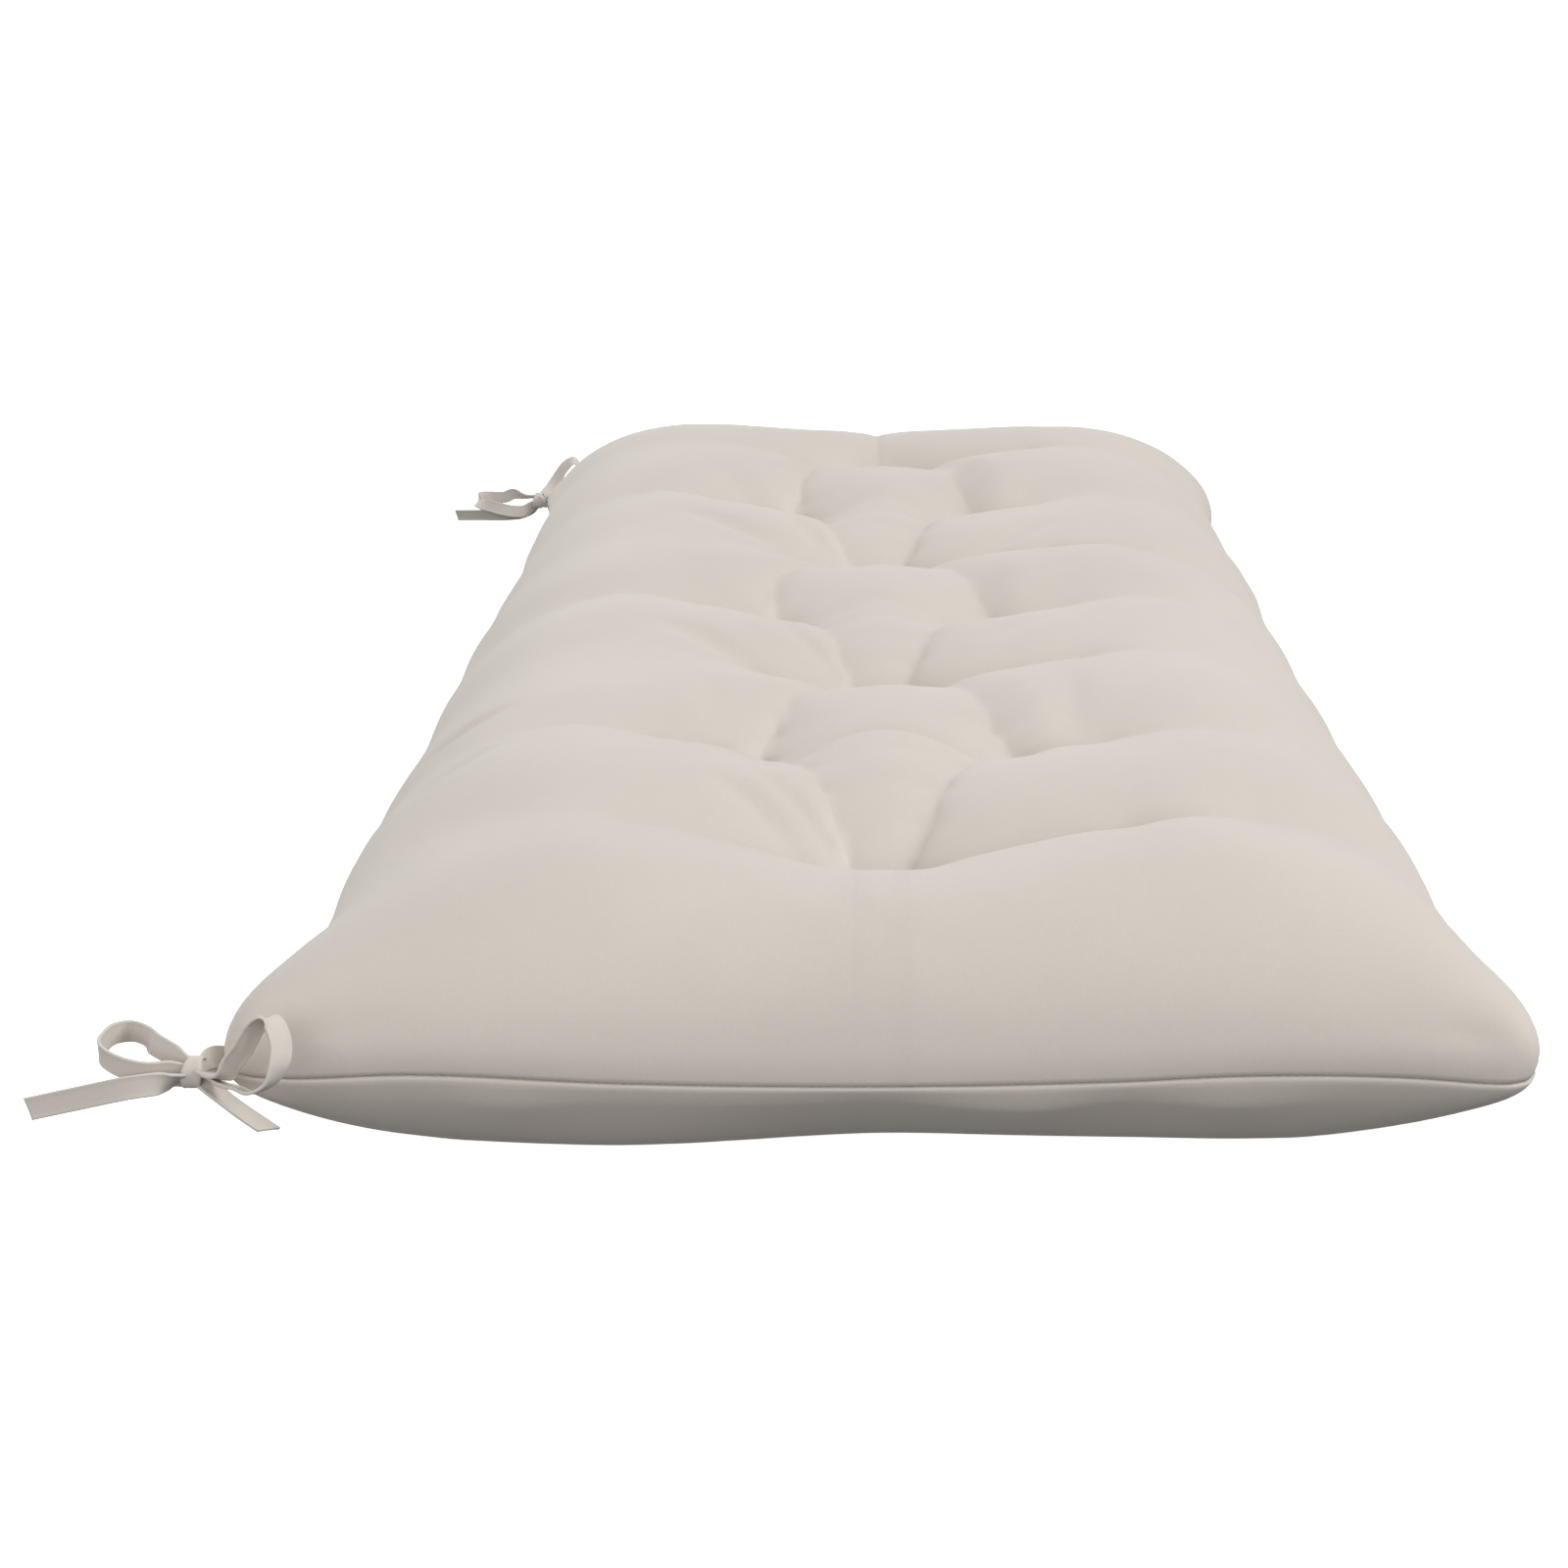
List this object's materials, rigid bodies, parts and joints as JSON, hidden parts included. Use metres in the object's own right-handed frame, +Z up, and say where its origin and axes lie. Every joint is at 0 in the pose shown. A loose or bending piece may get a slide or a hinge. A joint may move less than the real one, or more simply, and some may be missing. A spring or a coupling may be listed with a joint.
{
  "type": "tufted bench cushion with bow ties",
  "caption": "Long filled bench cushion in plain greige cloth, tufted down the middle, with a tape bow at each corner of one long side.",
  "frame": {"origin": "on the surface the cushion lies on, under the middle of the cushion", "axes": "+Z up, +Y along the cushion's length away from the viewer, +X across it, away from the side with the bows"},
  "size_m": [0.5731, 1.0487, 0.1145],
  "materials": {
    "cover_cloth": "matte fine plain weave",
    "tie_cloth": "matte narrow folded tape"
  },
  "bodies": {
    "root": {"cushion": "cover_cloth", "tie_near": "tie_cloth", "tie_far": "tie_cloth"}
  },
  "joints": []
}
